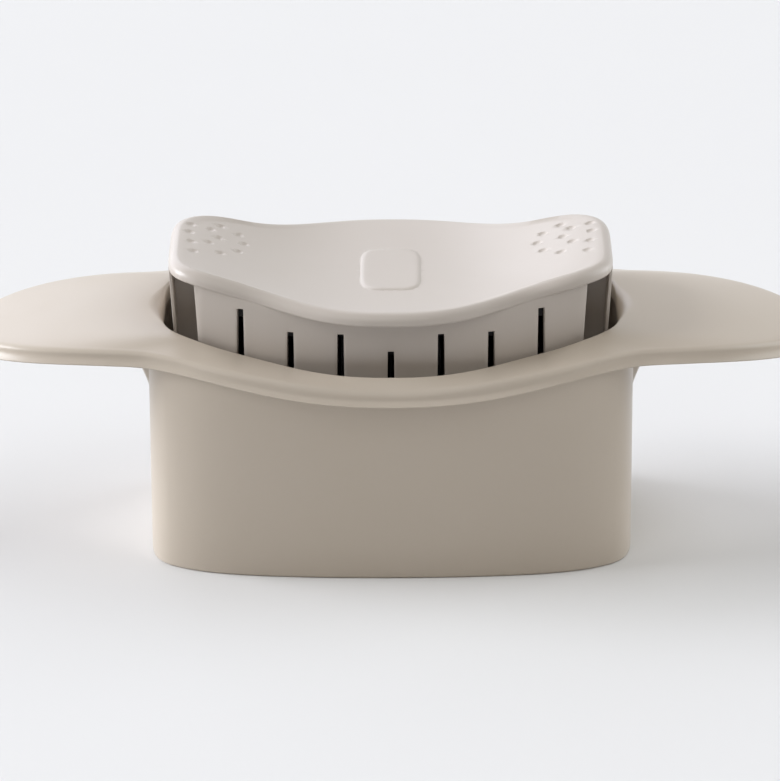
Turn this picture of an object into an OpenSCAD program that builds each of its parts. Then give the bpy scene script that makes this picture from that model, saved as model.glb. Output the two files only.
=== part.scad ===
// Hasselback potato slicer: a housing with two wing handles, seven fixed blades held between two
// rails, and a plunger that rides up with the potato and is pressed down to push it out again.
// Units are millimetres. Z is up, X runs from wing to wing, the front is -Y, and the housing stands
// on z = 0. The plunger is drawn raised, as it rests while a potato is half cut.

/* [Housing] */
// length over both wings
wing_span = 250; // [240:1:260]
// depth of a wing where it leaves the body
wing_depth = 72; // [68:1:74]
// how far the wing tips hang below the wing roots
wing_droop = 4.2; // [2:0.1:5]
// depth of the body at its middle
body_depth = 87; // [85:0.5:92]
// how far the front and back walls bulge
body_bulge = 5.6; // [5:0.1:6]
// thickness of the body walls
wall_t = 2.4; // [2:0.1:2.6]
// width of the ledge from the opening's end to the outside of the end wall
end_ledge = 4.1; // [3.9:0.1:4.6]
// height of the rim at the middle of the front
rim_z = 61.9; // [60:0.1:66]
// rise of the rim from its middle to the wings
rim_rise = 6.9; // [6:0.1:7.5]
// thickness of the rim and the wings
rim_t = 5; // [4.5:0.1:5.2]
// how far the rim stands out over the front and back walls
rim_over = 5.5; // [5:0.1:6.5]
// how far the rim's outer edge lies below the opening's lip at the middle of the front and back
rim_roll = 2; // [1.5:0.1:2.4]
// how far the web under each wing reaches out from the end wall
web_out = 6.6; // [6:0.1:7.2]
// height of the web under each wing
web_h = 15.7; // [14:0.1:17]

/* [Plunger] */
// height of the plunger above flush, as drawn
lift = 18.7; // [16:0.1:20]
// length of the plate
plate_len = 128.6; // [125:0.2:134]
// how far the plate's ends lie inside the depth of the body, front and back
plate_end_inset = 13.9; // [13.5:0.1:14.3]
// how far the plate's middle lies inside the depth of the body, front and back
plate_mid_inset = 2.2; // [1.9:0.1:2.5]
// rise of the plate from its middle to its ends
plate_rise = 7.6; // [7:0.1:8]
// depth of the dish in the plate
plate_dish = 1.8; // [1:0.1:2]
// thickness of the plate at its rim
plate_t = 3.7; // [3.5:0.1:3.9]
// gap between the plate and the opening, all round
plate_gap = 0.8; // [0.6:0.1:1.2]
// how far the middle of the slotted walls lies inside the depth of the body
skirt_inset = 9.1; // [8.9:0.1:9.5]
// how far the slotted walls bow out
skirt_bow = 9.8; // [9.6:0.1:10.4]
// from the plate's end to the end of the slotted walls
skirt_end_inset = 8.8; // [8.6:0.1:9.2]
// thickness of the slotted walls
skirt_t = 1.8; // [1.6:0.1:2]
// bottom of the slotted walls when the plate is flush
skirt_foot = 8; // [7:0.5:9]
// width of the slots
slot_w = 1.7; // [1.4:0.1:2]

/* [Blades] */
// cutting edge of the middle blade
edge_z = 10.5; // [9:0.5:12]
// how much higher the next pair of blades stands, and the last pair again
blade_climb = 5; // [4:0.5:5.5]
// thickness of a blade
blade_t = 0.6; // [0.5:0.1:0.7]
// height of the ground edge
bevel_h = 1.8; // [1:0.1:2.5]
// play of a blade in its seat, each side
seat_play = 0.05; // [0.03:0.01:0.08]

/* [Grip] */
// width of a thumb dimple
dimple_w = 2.8; // [2.2:0.1:3]
// depth of a thumb dimple
dimple_d = 0.45; // [0.3:0.05:0.6]
// length of the bare panel, across the plate
panel_len = 34; // [30:1:36]
// width of the bare panel
panel_w = 17; // [15:1:19]

/* [Hidden] */
seg = 28;
ring_n = 4 * seg;
top_z = rim_z + lift;
// opening and body
end_gap = 1.1;
corner_gap = 0.7;
open_half = plate_len / 2 + plate_gap + end_gap;
plate_end_depth = body_depth - 2 * plate_end_inset;
plate_bulge = plate_end_inset - plate_mid_inset;
open_end = plate_end_depth / 2 + plate_gap + corner_gap;
open_bulge = plate_bulge - corner_gap;
body_len = 2 * (open_half + end_ledge);
// where the waves of the rim, the plate and the wings begin and end
lip_up = 0.3;
lip_wave = open_half - 0.8;
edge_wave = body_len / 2 + 6;
edge_less = 0.3;
wing_thin = 0.6;
plate_wave = plate_len / 2 - 0.9;
bulge_half = plate_len / 2 - 20;
droop_from = body_len / 2 + 8.3;
neck_half = body_len / 2 + 2.2;
// roundings of the foot, the rim, the opening and the plate; the lip is softer at the ends
foot_r = 0.8;
root_r = 1.2;
bead_r = 0.4;
bead_h = 1.9;
bead_out = 1.3;
bead_more = 0.7;
crown_r = 2.9;
lip_r = 0.7;
lip_drop = 1.2;
lip_soft = 4.2;
plate_r = 2.8;
plate_drop = 2.4;
plate_lower = 0.7;
// slotted walls and end walls of the plunger
skirt_half = plate_len / 2 - skirt_end_inset;
skirt_mid = body_depth / 2 - skirt_inset;
skirt_end = skirt_mid - skirt_bow;
skirt_low = skirt_foot + lift;
skirt_r = (pow(skirt_half, 2) + pow(skirt_bow, 2)) / (2 * skirt_bow);
skirt_root = 0.6;
bands = 8;
plate_set = 0.3;
end_inset = 1.3;
end_out = plate_len / 2 - end_inset;
end_t = 0.9;
end_y = 14.5;
recess_y = 6;
web_t = 1.5;
// guide ribs of the housing, in the plunger's corner channels
guide_gap = 0.5;
guide_side = 0.6;
guide_low = 3;
guide_drop = 8;
// ribs, treads and their screws
rib_end = 5.1;
blade_pitch = (skirt_half - rib_end) / 3.5;
fin_t = 2;
fin_rise = 1;
tread_t = 2;
tread_room = 2.3;
tread_inset = [6.4, 8.4, 8.4, 11.4];
comb_bolt = [2.5, 5, 4.6, 1.7];
comb_boss = 5.6;
comb_screw = [2.5 * blade_pitch + 3.7, 12];
// rails and their screws
rail_inset = 7.5;
rail_half = skirt_half - rail_inset;
rail_low = 7;
rail_head = 1;
rail_under = 1.9;
rail_top = rim_z - rim_t - rail_under;
rail_play = 0.4;
rail_out = body_depth / 2 - wall_t - rail_play;
rail_in = skirt_end - 0.3;
rail_r = 345;
rail_gap = 0.7;
ear = [7.2, 6.2, 8];
ear_low = rail_top - ear[2];
rail_bolt = [3, 13, 5.6, 2];
rail_boss = 6.4;
rail_screw = [rail_half + 2.8, rail_out - 8.5];
thread_fit = 0.04;
bolt_room = 0.3;
seat_z = 0.05;
// blades
lug_l = 1.4;
lug_h = 1.5;
blade_back = 3.1;
blade_half = rail_out - blade_back;
blade_h = rail_top - rail_head - lug_h - edge_z - 2 * blade_climb;
climbs = [0, blade_climb, blade_climb, 2 * blade_climb];
slot_drop = [13.7, 8.6, 8.6, 2.7];
slot_tops = [for (d = slot_drop) top_z - d];
treads = [for (c = climbs) edge_z + blade_h + c + tread_room + lift];
// stop clips
clip_y = 3.8;
clip_drop = 2.2;
clip_h = 11;
clip_jaw = 2.4;
clip_play = 0.05;
clip_gap = 0.7;
clip_out = body_len / 2 - wall_t - clip_gap;
clip_bolt = [2.5, 6.6, 4, 1.5];
clip_z = skirt_low + 2.3;
// bare panel and dimples; a dimple's place is from the plate's end and from its centre line
panel_r = 4;
panel_h = 0.5;
dimples = [
  [6.1, 15.6], [6, 9.5], [6.6, 2], [7.6, -5.8], [11.9, 14.8], [14.8, 18.8],
  [14.5, 9.6], [11.9, 4.1], [15.3, -2.3], [20.1, 15.8], [21.9, 9.9], [20.4, 2.9]
];
plastic = [0.80, 0.76, 0.71];
inner = [0.20, 0.19, 0.18];
steel = [0.80, 0.81, 0.83];

// smooth rise from 0 at the middle to 1 at x = half
function wave(x, half, p) = pow(sin(90 * pow(min(1, abs(x) / half), p)), 2);
// smooth bulge from 1 at the middle to 0 at bulge_half
function bell(x) = (1 + cos(180 * pow(min(1, abs(x) / bulge_half), 1.25))) / 2;
function ramp(low, high, x) = let (t = min(1, max(0, (x - low) / (high - low)))) t * t * (3 - 2 * t);
function tip(x) = pow(max(0, (abs(x) - droop_from) / (wing_span / 2 - droop_from)), 2);
function rim_lip(x) = rim_z + lip_up + rim_rise * wave(x, lip_wave, 2.1);
function rim_edge(x) = rim_z + lip_up - rim_roll + (rim_rise - edge_less) * wave(x, edge_wave, 1.11)
  - wing_droop * tip(x);
function winged(x) = ramp(25, body_len / 2, abs(x));
function rim_under(x) = rim_edge(x) - rim_t + wing_thin * winged(x);
function plate_edge(x) = top_z + plate_rise * wave(x, plate_wave, 1.75);
function skirt_y(x) = sqrt(pow(skirt_r, 2) - x * x) - skirt_r + skirt_mid;

// one quarter of an outline, from the middle (u = 0) to the end (u = 1); g grows it
function body_b(x, g) = body_depth / 2 + g - body_bulge * pow(min(x / body_len * 2, 0.86), 2);
function open_b(x, g, end, rise) = end + g + rise * bell(x);
function side(x, a, b, n) = b * pow(max(0, 1 - pow(x / a, n)), 1 / n);
function body_q(u, g) = let (a = body_len / 2 + g, k = 0.86 * a, b = body_b(a, g))
  u < 0.7 ? let (x = k * u / 0.7) [x, side(x, a, body_b(x, g), 6)]
  : let (y = side(k, a, b, 6) * (1 - u) / 0.3) [side(y, b, a, 6), y];
function lens_q(u, g, half, end, rise, n) = let (a = half + g, k = 0.88 * a, b = end + g)
  u < 0.7 ? let (x = k * u / 0.7) [x, side(x, a, open_b(x, g, end, rise), n)]
  : let (y = side(k, a, b, n) * (1 - u) / 0.3) [side(y, b, a, n), y];
function wing_y(x, a, g) = (wing_depth / 2 + g) * sqrt(max(0, 1 - pow(x / a, 5)))
  + (body_depth / 2 + rim_over - wing_depth / 2) * pow(max(0, 1 - pow(x / neck_half, 2.5)), 1.35);
function wing_q(u, g) = let (a = wing_span / 2 + g, m = 0.86 * 0.6 / 0.7 * body_len / 2)
  let (x = u < 0.6 ? m * u / 0.6 : m + (a - m) * sin(90 * (u - 0.6) / 0.4)) [x, wing_y(x, a, g)];
function open_q(u, g) = lens_q(u, g, open_half, open_end, open_bulge, 4.4);
function plate_q(u, g) = lens_q(u, g, plate_len / 2, plate_end_depth / 2, plate_bulge, 5.2);
function mix(p, q, w) = p * (1 - w) + q * w;
function up(p, z) = [p[0], p[1], z];

// section of the housing shell at one place round it, from the foot up the outside and down the inside
function shell_section(u) = let (
    b = body_q(u, 0), w = wing_q(u, 0), reach = norm(w - b), d = (w - b) / reach,
    web = ramp(0.86, 0.9, u), root = min(root_r, 0.34 * reach) * (1 - web),
    fil = root + web_out * web, fil_h = root + web_h * web,
    f1 = b + d * fil * (0.293 + 0.127 * web), f2 = b + d * fil, bead = min(bead_out, 0.3 * reach),
    soft = lip_soft * ramp(0.8, 1, u), lw = lip_r + soft, ld = lip_drop + 0.75 * soft,
    c = wing_q(u, -crown_r), l = open_q(u, lw), cz = rim_edge(c[0]), climb = rim_lip(l[0]) - cz,
    width = norm(c - l), swell = 1.15 + 0.75 * ramp(4, 30, width), slope = swell * climb / width,
    low_z = rim_under(w[0]), tall = bead_h + bead_more * winged(w[0]), groove_z = low_z + bead_r + tall,
    drop = rim_edge(w[0]) - slope * (crown_r - bead) - groove_z,
    i = body_q(u, -wall_t), o = open_q(u, 0), oz = rim_lip(o[0])
  ) [
    up(body_q(u, -foot_r), 0), up(b, foot_r), up(b, rim_under(b[0]) - fil_h),
    up(f1, rim_under(f1[0]) - fil_h * (0.293 + 0.207 * web)), up(f2, rim_under(f2[0])),
    up(wing_q(u, -bead_r), low_z), up(w, low_z + bead_r),
    up(wing_q(u, -0.75 * bead), low_z + bead_r + 0.5 * tall), up(wing_q(u, -bead), groove_z),
    crown(u, 0.134, 0.5 * drop, slope, bead), crown(u, 0.5, 0.134 * drop, slope, bead),
    crown(u, 1, 0, slope, bead),
    for (k = [0.25, 0.5, 0.75]) up(mix(c, l, k), cz + climb * (1 - pow(1 - k, swell))),
    up(l, rim_lip(l[0])), up(open_q(u, 0.293 * lw), rim_lip(open_q(u, 0.293 * lw)[0]) - 0.293 * ld),
    up(o, oz - ld), up(o, oz - rim_t),
    up(i, rim_lip(i[0]) - rim_t - 0.3), up(i, foot_r), up(body_q(u, 0.75 * foot_r - wall_t), 0)
  ];
// a place on the rim's crown: in by a share of its width from the bead's groove, and down
function crown(u, share, down, slope, bead) = let (in = bead + (crown_r - bead) * share, p = wing_q(u, -in))
  up(p, rim_edge(p[0]) - slope * (crown_r - in) - down);
function plate_low(p) = up(p, plate_edge(p[0]) - plate_t);
function plate_top(p, s) =
  up(p, plate_edge(p[0]) - plate_dish * (1 - s * s) * max(0, 1 - pow(p[0] * 2 / plate_len, 2)));
// section of the plate from the middle of its underside round the rim to the middle of its top
function plate_section(u) = let (p = plate_q(u, 0), e = plate_edge(p[0]), t = plate_q(u, -plate_r)) [
    plate_low(p * 0.35), plate_low(p * 0.7), plate_low(plate_q(u, -plate_lower)),
    up(plate_q(u, -0.29 * plate_lower), e - plate_t + 0.29 * plate_lower), up(p, e - plate_t + plate_lower),
    up(p, e - plate_drop), up(plate_q(u, -0.29 * plate_r), e - 0.29 * plate_drop),
    plate_top(t, 1), plate_top(t * 0.85, 0.85), plate_top(t * 0.65, 0.65), plate_top(t * 0.45, 0.45),
    plate_top(t * 0.22, 0.22)
  ];
// place j round a ring, clockwise from the middle of the back
function ring_u(j) = let (r = j % seg / seg) floor(j / seg) % 2 == 0 ? r : 1 - r;
function ring_s(j) = let (q = floor(j / seg)) [q < 2 ? 1 : -1, q == 0 || q == 3 ? 1 : -1, 1];
function turn(p, s) = [p[0] * s[0], p[1] * s[1], p[2]];
function band(k, m) = [for (j = [0:ring_n - 1]) let (n = (j + 1) % ring_n)
  let (a = k * ring_n, b = m * ring_n) each [[a + j, a + n, b + n], [a + j, b + n, b + j]]];

module shell() {
  sections = [for (j = [0:ring_n - 1]) shell_section(ring_u(j))];
  count = len(sections[0]);
  points = [for (k = [0:count - 1]) for (j = [0:ring_n - 1]) turn(sections[j][k], ring_s(j))];
  polyhedron(points, [for (k = [0:count - 1]) each band(k, (k + 1) % count)]);
}

module plate() {
  sections = [for (j = [0:ring_n - 1]) plate_section(ring_u(j))];
  count = len(sections[0]);
  rings = [for (k = [0:count - 1]) for (j = [0:ring_n - 1]) turn(sections[j][k], ring_s(j))];
  poles = [[0, 0, top_z - plate_t], [0, 0, top_z - plate_dish]];
  low = len(rings);
  last = (count - 1) * ring_n;
  caps = [for (j = [0:ring_n - 1]) let (n = (j + 1) % ring_n)
    each [[low, n, j], [low + 1, last + j, last + n]]];
  polyhedron(concat(rings, poles), concat([for (k = [0:count - 2]) each band(k, k + 1)], caps));
}

module corners(p) {
  for (sx = [-1, 1]) for (sy = [-1, 1]) translate([sx * p[0], sy * p[1], 0]) children();
}

// screw with its head below z = 0; size = [shank, length, head, head height]
module screw(size) {
  difference() {
    union() {
      translate([0, 0, -size[3]]) cylinder(d = size[2], h = size[3], $fn = 40);
      cylinder(d = size[0], h = size[1], $fn = 32);
    }
    translate([0, 0, -2 * size[3]]) cylinder(d = size[2] / 2, h = 1.6 * size[3], $fn = 6);
  }
}

// an outline's points, as a flat shape
module plan(points) {
  polygon([for (p = points) [p[0], p[1]]]);
}

module guide_ribs() {
  near = skirt_half + guide_gap;
  far = end_out - end_t - guide_gap;
  low = recess_y + guide_side;
  intersection() {
    for (sx = [-1, 1]) for (sy = [-1, 1])
      translate([sx > 0 ? near : -far, sy > 0 ? low : -body_depth, guide_low])
        cube([far - near, body_depth - low, rim_z - guide_drop - guide_low]);
    linear_extrude(rim_z) plan([for (j = [0:ring_n - 1]) turn(body_q(ring_u(j), -wall_t / 2), ring_s(j))]);
  }
}

module housing() {
  boss_low = rail_top + clip_play * 2;
  boss_h = rim_lip(rail_screw[0]) - rim_t + 1 - boss_low;
  color(plastic) difference() {
    union() {
      shell();
      guide_ribs();
      corners(rail_screw) translate([0, 0, boss_low]) cylinder(d = rail_boss, h = boss_h, $fn = 40);
    }
    corners(rail_screw) translate([0, 0, ear_low])
      cylinder(d = rail_bolt[0] + thread_fit, h = rail_bolt[1] + 0.6, $fn = 32);
  }
}

module rail_bar() {
  difference() {
    union() {
      translate([0, 0, rail_low]) linear_extrude(rail_top - rail_low) intersection() {
        translate([-rail_half, rail_in]) square([2 * rail_half, rail_out - rail_in + 1]);
        translate([0, rail_out - rail_r]) circle(r = rail_r, $fn = 200);
      }
      for (sx = [-1, 1])
        translate([sx * (rail_screw[0] - 0.4) - ear[0] / 2, rail_screw[1] - 3, ear_low]) cube(ear);
    }
    translate([0, skirt_mid - skirt_r, 0]) cylinder(r = skirt_r + rail_gap, h = rim_z + lift, $fn = 200);
    for (sx = [-1, 1]) translate([sx * rail_screw[0], rail_screw[1], ear_low - 1])
      cylinder(d = rail_bolt[0] + bolt_room, h = ear[2] + 2, $fn = 32);
  }
}

module seat(i, from, to, extra) {
  wide = blade_t + 2 * seat_play;
  low = edge_z + climbs[abs(i)] - extra - 2 * seat_play;
  translate([i * blade_pitch - wide / 2, from, low])
    cube([wide, to - from, blade_h + 2 * extra + 4 * seat_play]);
}

module front_blade_rail() {
  color(inner) scale([1, -1, 1]) difference() {
    rail_bar();
    for (i = [-3:3]) {
      seat(i, rail_in, rail_out + 1, 0);
      seat(i, blade_half - lug_l - seat_play, rail_out + 1, lug_h);
    }
  }
}

module rear_blade_rail() {
  color(inner) difference() {
    rail_bar();
    for (i = [-3:3]) seat(i, rail_in, blade_half + seat_play, 0);
  }
}

module blade(i) {
  half = blade_t / 2;
  ground = [[0, 0], [half, bevel_h], [half, blade_h], [-half, blade_h], [-half, bevel_h]];
  color(steel) translate([i * blade_pitch, 0, edge_z + climbs[abs(i)]]) union() {
    translate([0, blade_half, 0]) rotate([90, 0, 0]) linear_extrude(2 * blade_half) polygon(ground);
    translate([-half, -blade_half, -lug_h]) cube([blade_t, lug_l, blade_h + 2 * lug_h]);
  }
}

module blade_1() { blade(-3); }
module blade_2() { blade(-2); }
module blade_3() { blade(-1); }
module blade_4() { blade(0); }
module blade_5() { blade(1); }
module blade_6() { blade(2); }
module blade_7() { blade(3); }

module rail_screws() {
  color(steel) corners(rail_screw) translate([0, 0, ear_low - seat_z]) screw(rail_bolt);
}

// outline of the walls under the plate
module skirt_plan() {
  tall = 2 * body_depth;
  difference() {
    union() {
      intersection() {
        square([2 * skirt_half, tall], center = true);
        translate([0, skirt_mid - skirt_r]) circle(r = skirt_r, $fn = 200);
        translate([0, skirt_r - skirt_mid]) circle(r = skirt_r, $fn = 200);
        plan([for (j = [0:ring_n - 1]) turn(plate_q(ring_u(j), -plate_set), ring_s(j))]);
      }
      square([2 * end_out, 2 * recess_y], center = true);
      for (sx = [-1, 1]) translate([sx * (end_out - end_t / 2), 0]) square([end_t, 2 * end_y], center = true);
    }
    intersection() {
      square([2 * (skirt_half - web_t), tall], center = true);
      translate([0, skirt_mid - skirt_r]) circle(r = skirt_r - skirt_t, $fn = 200);
      translate([0, skirt_r - skirt_mid]) circle(r = skirt_r - skirt_t, $fn = 200);
    }
    square([2 * (end_out - end_t), 2 * (recess_y - web_t)], center = true);
  }
}

// the walls between two distances from the middle, up into the plate
module skirt_band(from, to) {
  top = plate_edge(to) - plate_t + skirt_root;
  translate([0, 0, skirt_low]) linear_extrude(top - skirt_low) intersection() {
    skirt_plan();
    for (sx = [-1, 1]) translate([sx > 0 ? from : -to, -body_depth]) square([to - from, 2 * body_depth]);
  }
}

function dimple_r() = (pow(dimple_w / 2, 2) + pow(dimple_d, 2)) / (2 * dimple_d);
function dimple_x(p) = plate_len / 2 - p[0];
function dimple_z(p) = plate_edge(dimple_x(p)) + dimple_r() - dimple_d
  - plate_dish * (1 - pow(p[1] * 2 / plate_end_depth, 2)) * (1 - pow(dimple_x(p) * 2 / plate_len, 2));

module panel() {
  across = panel_w - 2 * panel_r;
  along = panel_len - 2 * panel_r;
  square([panel_w, along], center = true);
  square([across, panel_len], center = true);
  corners([across / 2, along / 2]) circle(r = panel_r, $fn = 32);
}

module plunger_shell() {
  boss_low = treads[3] + tread_t + 2 * seat_z;
  boss_top = plate_edge(comb_screw[0]) - plate_t + skirt_root;
  color(plastic) difference() {
    union() {
      plate();
      for (k = [0:bands - 1]) skirt_band(k / bands * skirt_half, (k + 1) / bands * skirt_half);
      skirt_band(skirt_half, end_out);
      corners(comb_screw) translate([0, 0, boss_low])
        cylinder(d = comb_boss, h = boss_top - boss_low, $fn = 40);
      translate([0, 0, top_z - plate_t / 2 - plate_dish]) linear_extrude(plate_t / 2 + panel_h) panel();
    }
    for (i = [-3:3]) translate([i * blade_pitch - slot_w / 2, -body_depth, skirt_low - 1])
      cube([slot_w, 2 * body_depth, slot_tops[abs(i)] - skirt_low + 1]);
    corners(comb_screw) translate([0, 0, treads[3]])
      cylinder(d = comb_bolt[0] + thread_fit, h = comb_bolt[1] + 0.4, $fn = 32);
    translate([0, 0, clip_z]) rotate([0, 90, 0])
      cylinder(d = clip_bolt[0] + 2 * clip_play, h = 2 * plate_len, center = true, $fn = 32);
    for (sx = [-1, 1]) for (p = dimples)
      translate([sx * dimple_x(p), p[1], dimple_z(p)]) sphere(r = dimple_r(), $fn = 32);
  }
}

module fin(n, top) {
  x = (n + 0.5) * blade_pitch;
  half = skirt_y(x) - skirt_t - guide_gap;
  low = skirt_low + fin_rise;
  for (sx = [-1, 1]) translate([sx * x - fin_t / 2, -half, low]) cube([fin_t, 2 * half, top - low]);
}

module tread(from, to, n) {
  half = skirt_mid - tread_inset[n];
  for (sx = [-1, 1]) translate([sx > 0 ? from : -to, -half, treads[n]]) cube([to - from, 2 * half, tread_t]);
}

module pusher_comb() {
  reach = fin_t / 2;
  color(inner) difference() {
    union() {
      for (n = [0:3]) fin(n, treads[min(3, n + 1)] + tread_t);
      tread(0, blade_pitch / 2 + reach, 0);
      tread(blade_pitch / 2 - reach, 2.5 * blade_pitch + reach, 1);
      tread(2.5 * blade_pitch - reach, 3.5 * blade_pitch + reach, 3);
    }
    corners(comb_screw) translate([0, 0, treads[3] - 1])
      cylinder(d = comb_bolt[0] + bolt_room, h = tread_t + 2, $fn = 32);
  }
}

module comb_screws() {
  color(steel) corners(comb_screw) translate([0, 0, treads[3] - seat_z]) screw(comb_bolt);
}

module stop_clip() {
  in = end_out - end_t - clip_play;
  color(inner) difference() {
    translate([in - clip_jaw, -clip_y, skirt_low - clip_drop])
      cube([clip_out - in + clip_jaw, 2 * clip_y, clip_h]);
    translate([in, -2 * clip_y, skirt_low - clip_play]) cube([end_t + 2 * clip_play, 4 * clip_y, clip_h]);
    translate([in - 2 * clip_jaw, 0, clip_z]) rotate([0, 90, 0])
      cylinder(d = clip_bolt[0] + thread_fit, h = clip_bolt[1] + clip_jaw + 0.4, $fn = 32);
  }
}

module right_stop_clip() { stop_clip(); }
module left_stop_clip() { scale([-1, 1, 1]) stop_clip(); }

module clip_screws() {
  head_x = end_out - end_t - clip_jaw - 2 * clip_play;
  color(steel) for (sx = [-1, 1])
    translate([sx * head_x, 0, clip_z]) rotate([0, sx * 90, 0]) screw(clip_bolt);
}

housing();
front_blade_rail();
rear_blade_rail();
blade_1();
blade_2();
blade_3();
blade_4();
blade_5();
blade_6();
blade_7();
rail_screws();
plunger_shell();
pusher_comb();
comb_screws();
left_stop_clip();
right_stop_clip();
clip_screws();
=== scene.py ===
# %% [markdown]
# # A hasselback potato slicer, dressed over its CAD frame
# The tool is two beige mouldings around a set of steel blades: a housing with two wing handles, and a
# plunger with a dished plate that slides up and down in it. The CAD model fixes every size and every
# moving piece. This lesson makes smooth skins for the two mouldings, gives every piece a finish, and
# sets up the photograph's view. We start by loading the packed CAD model, which never moves.

# %% Load the frame
import math

import bmesh
import bpy
from mathutils import Matrix, Vector


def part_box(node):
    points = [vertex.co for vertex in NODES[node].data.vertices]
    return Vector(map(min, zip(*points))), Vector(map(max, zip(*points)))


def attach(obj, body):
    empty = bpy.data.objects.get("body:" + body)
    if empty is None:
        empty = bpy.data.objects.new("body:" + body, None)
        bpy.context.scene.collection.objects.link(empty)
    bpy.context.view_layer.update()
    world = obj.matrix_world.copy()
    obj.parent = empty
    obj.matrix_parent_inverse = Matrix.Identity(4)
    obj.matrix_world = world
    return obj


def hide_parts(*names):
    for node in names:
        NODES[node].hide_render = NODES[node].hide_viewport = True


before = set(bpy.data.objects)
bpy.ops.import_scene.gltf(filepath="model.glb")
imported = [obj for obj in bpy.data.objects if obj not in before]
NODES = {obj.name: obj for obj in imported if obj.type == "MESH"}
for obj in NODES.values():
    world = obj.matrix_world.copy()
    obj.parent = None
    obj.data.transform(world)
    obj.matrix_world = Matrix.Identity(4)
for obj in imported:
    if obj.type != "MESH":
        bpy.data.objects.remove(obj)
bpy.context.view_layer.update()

# %% [markdown]
# ## Sizes
# Blender works in metres here, but a moulding is easier to think about in millimetres, so the outlines
# below are in millimetres and one factor turns them into metres. The overall sizes are read from the
# boxes of the CAD nodes, and the outermost ones are a hair smaller, so that no skin grows past them. The
# opening leaves a gap around the plate, with more room at its rounder corners, and the body's wall stands
# outside the opening.

# %% Sizes, in millimetres
MM = 0.001
HAIR = 0.001
housing_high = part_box("housing")[1]
shell_low, shell_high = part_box("plunger_shell")
WING_HALF = housing_high.x / MM - HAIR
RIM_HALF = housing_high.y / MM - HAIR
PLATE_HALF = shell_high.x / MM
PLATE_MID = shell_high.y / MM
PLATE_BOW = 11.7
PLATE_END = PLATE_MID - PLATE_BOW
OPEN_GAP = 0.8
CORNER_ROOM_X, CORNER_ROOM_Y = 1.1, 0.7
OPEN_HALF = PLATE_HALF + OPEN_GAP + CORNER_ROOM_X
OPEN_END = PLATE_END + OPEN_GAP + CORNER_ROOM_Y
OPEN_BOW = PLATE_BOW - CORNER_ROOM_Y
END_WALL_OUT, SIDE_WALL_OUT = 4.1, 2.2
BODY_HALF = OPEN_HALF + END_WALL_OUT
BODY_MID = PLATE_MID + SIDE_WALL_OUT
print("wings", round(2 * WING_HALF, 1), "mm over both tips")
print("plate", round(2 * PLATE_HALF, 1), "x", round(2 * PLATE_MID, 1), "mm")

# %% [markdown]
# ## The curves that everything follows
# Seen from the front, the rim and the plate both sag in the middle, and the wings droop towards their
# tips. We could bend finished meshes with a lattice, but then the two mouldings would bend each in its
# own way. Small functions of x are shared by both, so they keep fitting each other.

# %% Heights of the rim and the plate
EDGE_Z, EDGE_RISE = 60.2, 6.6
LIP_Z, LIP_RISE = 62.2, 6.9
PLATE_ABOVE_LIP = 18.4
PLATE_Z = LIP_Z + PLATE_ABOVE_LIP
PLATE_RISE = shell_high.z / MM - PLATE_Z - HAIR
EDGE_WAVE = (BODY_HALF + 6, 1.11)
LIP_WAVE = (OPEN_HALF - 0.8, 2.1)
PLATE_WAVE = (PLATE_HALF - 0.9, 1.75)
DROOP, DROOP_FROM = 4.2, BODY_HALF + 8.3


def wave(x, half, power):
    """Smooth rise from 0 at the middle to 1 at half."""
    return math.sin(math.pi / 2 * min(1, abs(x) / half) ** power) ** 2


def rim_edge(x):
    """Height of the rim along its outer edge and the wings' edges."""
    tip = max(0, (abs(x) - DROOP_FROM) / (WING_HALF - DROOP_FROM)) ** 2
    return EDGE_Z + EDGE_RISE * wave(x, *EDGE_WAVE) - DROOP * tip


def rim_lip(x):
    """Height of the rim along the opening, which stands a little above the outer edge."""
    return LIP_Z + LIP_RISE * wave(x, *LIP_WAVE)


def plate_edge(x):
    """Height of the plate along its edge."""
    return PLATE_Z + PLATE_RISE * wave(x, *PLATE_WAVE)


print("lip", round(rim_lip(0), 1), "to", round(rim_lip(OPEN_HALF), 1), "mm high")
print("plate", round(plate_edge(0), 1), "to", round(plate_edge(PLATE_HALF), 1), "mm high")

# %% [markdown]
# Seen from above, each outline is one curve, the same in all four quarters: the body is a rounded box,
# the opening and the plate are bows with square ends, and the rim runs out into the wings. Each is a
# function of a place u that runs from the middle of the back (0) to the middle of an end (1): first
# along the side to a turning point near the corner, then along the end.

# %% Outlines from above
SIDE_SHARE, END_SHARE = 0.7, 0.3
BODY_TURN, BOW_TURN = 0.86, 0.88
BODY_POWER, PLATE_POWER, OPEN_POWER = 6, 5.1, 4.4
BODY_BULGE = 5.6
BELL_STOP, BELL_POWER = PLATE_HALF - 20, 1.25


def bell(x):
    """Smooth fall from 1 at the middle to 0 about two thirds of the way to the plate's ends."""
    return (1 + math.cos(math.pi * min(1, abs(x) / BELL_STOP) ** BELL_POWER)) / 2


def side(x, a, b, n):
    """Half depth at x of a rounded box with half sizes a and b; a larger n is squarer."""
    return b * max(0, 1 - (abs(x) / a) ** n) ** (1 / n)


def outline_at(u, a, b, depth, turn, power):
    """Point at u of an outline with half length a, half depth b at its ends and depth(x) between."""
    turn_x = turn * a
    if u < SIDE_SHARE:
        x = turn_x * u / SIDE_SHARE
        return x, side(x, a, depth(x), power)
    y = side(turn_x, a, b, power) * (1 - u) / END_SHARE
    return side(y, b, a, power), y


def body_half_depth(x, grow):
    return BODY_MID + grow - BODY_BULGE * min(abs(x) / BODY_HALF, BODY_TURN) ** 2


def body_at(u, grow):
    a = BODY_HALF + grow
    b = body_half_depth(a, grow)
    return outline_at(u, a, b, lambda x: body_half_depth(x, grow), BODY_TURN, BODY_POWER)


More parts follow.
